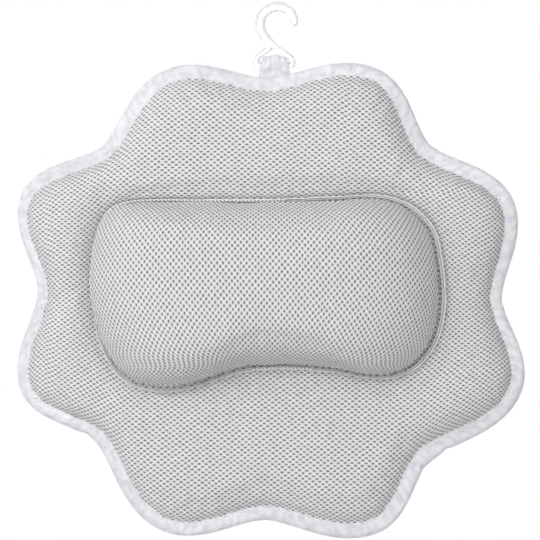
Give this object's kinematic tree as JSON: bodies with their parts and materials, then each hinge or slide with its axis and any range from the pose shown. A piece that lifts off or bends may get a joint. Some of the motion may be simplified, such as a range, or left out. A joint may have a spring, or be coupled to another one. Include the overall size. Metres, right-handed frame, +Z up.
{
  "type": "bath pillow",
  "caption": "Flower-shaped padded bath mat pillow in light grey air mesh with a raised head cushion, white edge tape, suction cups behind and a swinging plastic hook.",
  "frame": {"origin": "inside of the hook's crown, at the middle of its depth, where the hook sits on a rail", "axes": "+Z up towards the hook, the head cushion faces -Y, the suction cups face +Y, +X is to the right seen from the front. Held by its hook, the mat leans 5.6 degrees, foot back, as the cushion's weight brings it."},
  "size_m": [0.3882, 0.0963, 0.4106],
  "materials": {
    "air_mesh": "open warp-knit spacer mesh, matt",
    "binding_tape": "smooth woven tape",
    "plain_cloth": "plain cut cloth edge",
    "fibre_filling": "loose polyester fibre",
    "hook_plastic": "milky moulded plastic",
    "eyelet_plastic": "moulded plastic",
    "cup_vinyl": "clear soft vinyl"
  },
  "bodies": {
    "hook": {"hook": "hook_plastic"},
    "pad": {"hanging_tab": "binding_tape", "edge_binding": "binding_tape", "base_front_panel": "air_mesh", "base_filling": "fibre_filling", "base_back_panel": "air_mesh", "cushion_cover": "air_mesh", "cushion_filling": "fibre_filling", "cushion_backing": "plain_cloth", "cushion_seam_lip": "plain_cloth", "eyelet_1": "eyelet_plastic", "eyelet_2": "eyelet_plastic", "eyelet_3": "eyelet_plastic", "eyelet_4": "eyelet_plastic", "eyelet_5": "eyelet_plastic", "eyelet_6": "eyelet_plastic", "eyelet_washer_1": "eyelet_plastic", "eyelet_washer_2": "eyelet_plastic", "eyelet_washer_3": "eyelet_plastic", "eyelet_washer_4": "eyelet_plastic", "eyelet_washer_5": "eyelet_plastic", "eyelet_washer_6": "eyelet_plastic"},
    "cup_1": {"suction_cup_1": "cup_vinyl"},
    "cup_2": {"suction_cup_2": "cup_vinyl"},
    "cup_3": {"suction_cup_3": "cup_vinyl"},
    "cup_4": {"suction_cup_4": "cup_vinyl"},
    "cup_5": {"suction_cup_5": "cup_vinyl"},
    "cup_6": {"suction_cup_6": "cup_vinyl"}
  },
  "joints": [
    {"name": "hook_swing", "type": "hinge", "parent": "hook", "child": "pad", "pos_m": [-0.0027, 0, -0.0413], "axis": [1, 0, 0], "range_deg": [-125.6, 114.4]},
    {"name": "cup_turn_1", "type": "hinge", "parent": "pad", "child": "cup_1", "pos_m": [-0.08165, 0.01095, -0.10172], "axis": [0, 0.9952, 0.0976], "continuous": true},
    {"name": "cup_turn_2", "type": "hinge", "parent": "pad", "child": "cup_2", "pos_m": [0.07085, 0.01095, -0.10172], "axis": [0, 0.9952, 0.0976], "continuous": true},
    {"name": "cup_turn_3", "type": "hinge", "parent": "pad", "child": "cup_3", "pos_m": [-0.1454, 0.02241, -0.21857], "axis": [0, 0.9952, 0.0976], "continuous": true},
    {"name": "cup_turn_4", "type": "hinge", "parent": "pad", "child": "cup_4", "pos_m": [0.1346, 0.02241, -0.21857], "axis": [0, 0.9952, 0.0976], "continuous": true},
    {"name": "cup_turn_5", "type": "hinge", "parent": "pad", "child": "cup_5", "pos_m": [-0.08165, 0.03386, -0.33542], "axis": [0, 0.9952, 0.0976], "continuous": true},
    {"name": "cup_turn_6", "type": "hinge", "parent": "pad", "child": "cup_6", "pos_m": [0.07085, 0.03386, -0.33542], "axis": [0, 0.9952, 0.0976], "continuous": true}
  ]
}
